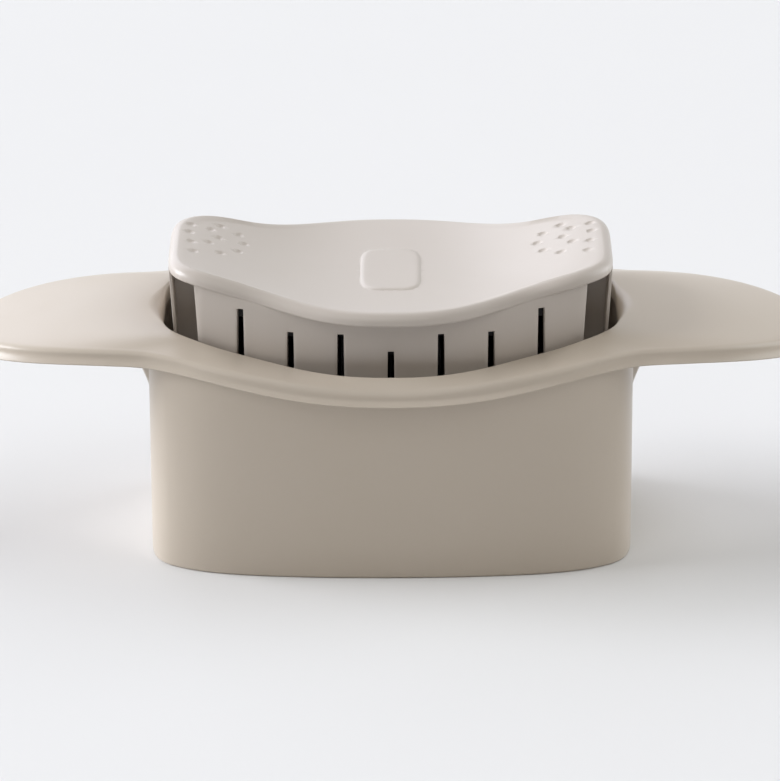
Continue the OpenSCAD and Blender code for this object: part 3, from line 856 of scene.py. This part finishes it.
# %% A socket that does sums
class Wire:
    """One output socket of a material's nodes."""

    def __init__(self, tree, socket=None):
        self.tree = tree
        self.socket = socket

    def node(self, kind, inputs=None, out=0, **settings):
        made = self.tree.nodes.new(kind)
        for name, value in settings.items():
            setattr(made, name, value)
        for name, value in (inputs or {}).items():
            if isinstance(value, Wire):
                self.tree.links.new(value.socket, made.inputs[name])
            else:
                made.inputs[name].default_value = value
        return Wire(self.tree, made.outputs[out])

    def math(self, operation, a, b=0.0):
        return self.node("ShaderNodeMath", {0: a, 1: b}, operation=operation)

    def noise(self, scale, detail):
        """Noise at the place that this wire gives."""
        return self.node("ShaderNodeTexNoise", {"Vector": self, "Scale": scale, "Detail": detail})

    def blend(self, low, high):
        """A colour between low and high, by this wire's value."""
        return self.node("ShaderNodeMix", {0: self, 6: low, 7: high}, out=2, data_type="RGBA")

    def __add__(self, other):
        return self.math("ADD", self, other)

    def __sub__(self, other):
        return self.math("SUBTRACT", self, other)

    def __rsub__(self, other):
        return self.math("SUBTRACT", other, self)

    def __mul__(self, other):
        return self.math("MULTIPLY", self, other)

    def __pow__(self, other):
        return self.math("POWER", self, other)

    def __abs__(self):
        return self.math("ABSOLUTE", self)

    __radd__, __rmul__ = __add__, __mul__


print("ways to make a node:", [name for name in vars(Wire) if not name.startswith("_")])


# %% Starting a finish
def new_finish(name, **constants):
    """A material with a Principled shader; returns it, its shader and a wire of Object coordinates."""
    material = bpy.data.materials.new(name)
    material.use_nodes = True
    shader = material.node_tree.nodes["Principled BSDF"]
    for socket, value in constants.items():
        shader.inputs[socket.replace("_", " ")].default_value = value
    wire = Wire(material.node_tree)
    return material, shader, wire.node("ShaderNodeTexCoord", out="Object")


def feed(shader, **wires):
    for socket, wire in wires.items():
        wire.tree.links.new(wire.socket, shader.inputs[socket.replace("_", " ")])


def dress(node, material):
    """Gives a CAD node its finish."""
    NODES[node].data.materials.clear()
    NODES[node].data.materials.append(material)


def srgb(*levels):
    """Colour written as the eye's 0 to 255 levels, as linear values."""
    linear = [c / 255 / 12.92 if c <= 10 else ((c / 255 + 0.055) / 1.055) ** 2.4 for c in levels]
    return (*linear, 1)


print("a middle grey of 128 is", round(srgb(128)[0], 3), "in linear light")

# %% [markdown]
# ## Satin plastic
# The mouldings are a warm beige plastic with a satin skin. Up close it isn't flat: the pigment clouds a
# little, the tool's fine sparked texture leaves a grain of about a third of a millimetre, and handling
# polishes it unevenly. Slow noise drives the tint and the sheen, and fine noise drives a very low bump.
# The pieces inside have the same skin in a charcoal that is painted shade, so the slots look black.

# %% Plastic finishes
GRAIN_DEPTH = 0.00004
RUB = 0.14


def plastic(name, light, dark, sheen, grain):
    material, shader, spot = new_finish(name, IOR=1.5, Specular_IOR_Level=0.5)
    cloud = spot.noise(22.0, 3.0)
    speck = spot.noise(1400.0, 2.0)
    rub = spot.noise(60.0, 4.0)
    tint = cloud * 0.75 + speck * 0.25
    bump = speck.node("ShaderNodeBump", {"Height": speck, "Strength": grain, "Distance": GRAIN_DEPTH})
    feed(shader, Base_Color=tint.blend(dark, light), Roughness=sheen + (rub - 0.5) * RUB, Normal=bump)
    return material


BEIGE_SHEEN, BEIGE_GRAIN = 0.33, 0.35
HOUSING_FINISH = plastic("satin_beige", srgb(191, 180, 167), srgb(185, 174, 159), BEIGE_SHEEN, BEIGE_GRAIN)
PLUNGER_FINISH = plastic("satin_beige_plunger", srgb(188, 180, 171), srgb(183, 174, 166),
                         BEIGE_SHEEN, BEIGE_GRAIN)
# Painted shade: the pieces deep inside the tool get a charcoal colour so the slots stay black.
PAINTED_SHADE_FINISH = plastic("satin_painted_shade", srgb(42, 40, 39), srgb(34, 33, 32), sheen=0.5, grain=0.5)
INNER_PIECES = ("front_blade_rail", "rear_blade_rail", "pusher_comb", "left_stop_clip", "right_stop_clip")
housing.data.materials.append(HOUSING_FINISH)
plunger.data.materials.append(PLUNGER_FINISH)
for node in INNER_PIECES:
    dress(node, PAINTED_SHADE_FINISH)
print("plastic pieces:", 2 + len(INNER_PIECES))

# %% [markdown]
# ## Steel
# The blades are stamped from strip that was brushed along its length, so their grain runs front to back,
# and the ground edge is brighter, with fine scratches across it. The spine on top is left rough, and its
# dark colour is painted shade, so that nothing light shows through the slots. The screws are turned, so
# their grain runs in rings about each one's axis. Both are metals whose sheen and bump follow their grain.
# A single shiny grey would look like chrome.

# %% Blade steel
SCRATCH_DEPTH = 0.00003


def blade_finish():
    material, shader, spot = new_finish("brushed_steel", Metallic=1.0)
    along = spot.node("ShaderNodeMapping", {"Vector": spot, "Scale": (900.0, 14.0, 900.0)})
    across = spot.node("ShaderNodeMapping", {"Vector": spot, "Scale": (60.0, 1500.0, 60.0)})
    normal = spot.node("ShaderNodeTexCoord", out="Normal")
    upward = normal.node("ShaderNodeSeparateXYZ", {0: normal}, out="Z")
    ground = upward.node("ShaderNodeMapRange", {0: abs(upward), 1: 0.08, 2: 0.14})
    # The blades' top edges: rougher, and painted in a dark shade so that the slots stay black.
    dull_shaded_spine = upward.node("ShaderNodeMapRange", {0: upward, 1: 0.5, 2: 0.9})
    streak = along.noise(2.0, 4.0) * (1 - ground) + across.noise(1.5, 2.0) * ground
    brushed = streak.blend(srgb(168, 170, 173), srgb(205, 207, 209))
    bump = streak.node("ShaderNodeBump", {"Height": streak, "Strength": 0.25, "Distance": SCRATCH_DEPTH})
    sheen = 0.24 + streak * 0.18 - ground * 0.06 + dull_shaded_spine * 0.4
    # The near-black colour on the spine is painted shade, not the steel's own colour.
    feed(shader, Base_Color=dull_shaded_spine.blend(brushed, srgb(62, 61, 60)), Roughness=sheen, Normal=bump)
    return material


BLADE_FINISH = blade_finish()
for k in range(1, SLOTS + 1):
    dress(f"blade_{k}", BLADE_FINISH)
print("blades finished:", SLOTS)

# %% Screw steel
TURNING = 26000.0


def screw_finish(name, axis, centre):
    """Turned steel; centre is the screws' distance from the middle along the two axes across them."""
    material, shader, spot = new_finish(name, Metallic=1.0)
    first_axis, second_axis = [c for c in "XYZ" if c != axis]
    a = abs(spot.node("ShaderNodeSeparateXYZ", {0: spot}, out=first_axis)) - centre[0] * MM
    b = abs(spot.node("ShaderNodeSeparateXYZ", {0: spot}, out=second_axis)) - centre[1] * MM
    radius = (a * a + b * b) ** 0.5
    turned = radius.math("SINE", radius * TURNING)
    dust = spot.noise(700.0, 3.0)
    mark = turned * 0.2 + dust * 0.8
    colour = mark.blend(srgb(150, 151, 153), srgb(196, 197, 199))
    bump = mark.node("ShaderNodeBump", {"Height": mark, "Strength": 0.3, "Distance": SCRATCH_DEPTH})
    feed(shader, Base_Color=colour, Roughness=0.3 + dust * 0.2, Normal=bump)
    return material


SCREWS = (("rail_screws", "Z", RAIL_SCREW), ("comb_screws", "Z", COMB_SCREW),
          ("clip_screws", "X", (0, CLIP_Z)))
for node, axis, centre in SCREWS:
    dress(node, screw_finish("turned_steel_" + node, axis, centre))
print("screw groups finished:", len(SCREWS))

# %% [markdown]
# ## Floor and light
# The photograph is a soft studio picture: a pale table, white all round, a wide light from the left that
# leaves the fronts in a warm half shade, and weaker lights from the back, the right and the front. Area
# lamps would do, but their light falls off across the tool. Wide sun lamps light it evenly, with soft
# shadows, and the world adds a faint warm fill. The white that the camera sees, and that the plastic
# mirrors, is kept apart from that fill with the Light Path node.

# %% Floor
FLOOR_HALF = 4
floor_bm = bmesh.new()
bmesh.ops.create_grid(floor_bm, x_segments=8, y_segments=8, size=FLOOR_HALF)
floor = as_object(floor_bm, "floor")
floor_material, floor_shader, floor_spot = new_finish("pale_table", Specular_IOR_Level=0.1, Roughness=0.6)
mottle = floor_spot.noise(5.0, 3.0)
feed(floor_shader, Base_Color=mottle.blend(srgb(221, 221, 221), srgb(223, 223, 223)))
floor.data.materials.append(floor_material)
print("floor:", 2 * FLOOR_HALF, "m square")


# %% Lamps
def sun(name, towards, strength, spread, colour):
    lamp = bpy.data.lights.new(name, "SUN")
    lamp.energy, lamp.angle, lamp.color = strength, math.radians(spread), colour
    made = bpy.data.objects.new(name, lamp)
    made.rotation_euler = (-Vector(towards)).to_track_quat("-Z", "Y").to_euler()
    bpy.context.scene.collection.objects.link(made)
    return made


LAMPS = (
    sun("left_window", (-0.9, 0.1, 0.36), 3.9, 40, (0.97, 1.0, 1.06)),
    sun("back_softbox", (-0.5, 0.7, 0.5), 1.04, 60, (0.96, 0.98, 1.1)),
    sun("right_softbox", (0.8, 0.1, 0.6), 1.75, 60, (0.97, 1.01, 1.04)),
    sun("right_window", (0.85, 0.5, 0.12), 0.65, 30, (0.97, 1.0, 1.05)),
    sun("front_softbox", (-0.1, -0.7, 0.7), 0.52, 50, (1.0, 1.0, 0.98)),
)
print("lamps:", [lamp.name for lamp in LAMPS])

# %% World
world = bpy.data.worlds.new("studio")
world.use_nodes = True
bpy.context.scene.world = world
sky = Wire(world.node_tree)
seen = sky.node("ShaderNodeLightPath", out="Is Camera Ray")
path = seen.socket.node
for ray in ("Is Glossy Ray", "Is Transmission Ray"):
    seen = seen.math("MAXIMUM", seen, Wire(world.node_tree, path.outputs[ray]))
fill = sky.node("ShaderNodeBackground", {"Color": (1.0, 0.78, 0.52, 1), "Strength": 0.11})
white = sky.node("ShaderNodeBackground", {"Color": srgb(245, 247, 251), "Strength": 1.0})
mixed = sky.node("ShaderNodeMixShader", {0: seen, 1: fill, 2: white})
world.node_tree.links.new(mixed.socket, world.node_tree.nodes["World Output"].inputs["Surface"])
bpy.context.scene.view_settings.view_transform = "Standard"
print("world nodes:", len(world.node_tree.nodes))

# %% [markdown]
# ## Camera
# The photograph was taken from the front, nearly 22 degrees above the table, with a long lens. Our camera
# stands where the outlines of the CAD model fall on the photograph's, aims a touch below the middle of
# the tool, and leans by a fifth of a degree, as the photograph does.

# %% Camera
TARGET = Vector((0, 0, 0.045))
ELEVATION = math.radians(21.7)
DISTANCE = 1.5
PIXELS = 781
FOCAL = 5103 / PIXELS
AIM = (1.1 / PIXELS, 12.0 / PIXELS)
ROLL = math.radians(0.2)
SENSOR = 36
lens = bpy.data.cameras.new("camera")
lens.sensor_width = SENSOR
lens.lens = SENSOR * FOCAL
lens.clip_start, lens.clip_end = 0.05, 50
camera = bpy.data.objects.new("camera", lens)
camera.location = TARGET + DISTANCE * Vector((0, -math.cos(ELEVATION), math.sin(ELEVATION)))
turn = Matrix.Rotation(math.atan(AIM[0] / FOCAL), 4, "Z")
pitch = Matrix.Rotation(math.pi / 2 - ELEVATION - math.atan(AIM[1] / FOCAL), 4, "X")
camera.rotation_euler = (turn @ pitch @ Matrix.Rotation(-ROLL, 4, "Z")).to_euler()
bpy.context.scene.collection.objects.link(camera)
bpy.context.scene.camera = camera
print("camera at", [round(v, 3) for v in camera.location])
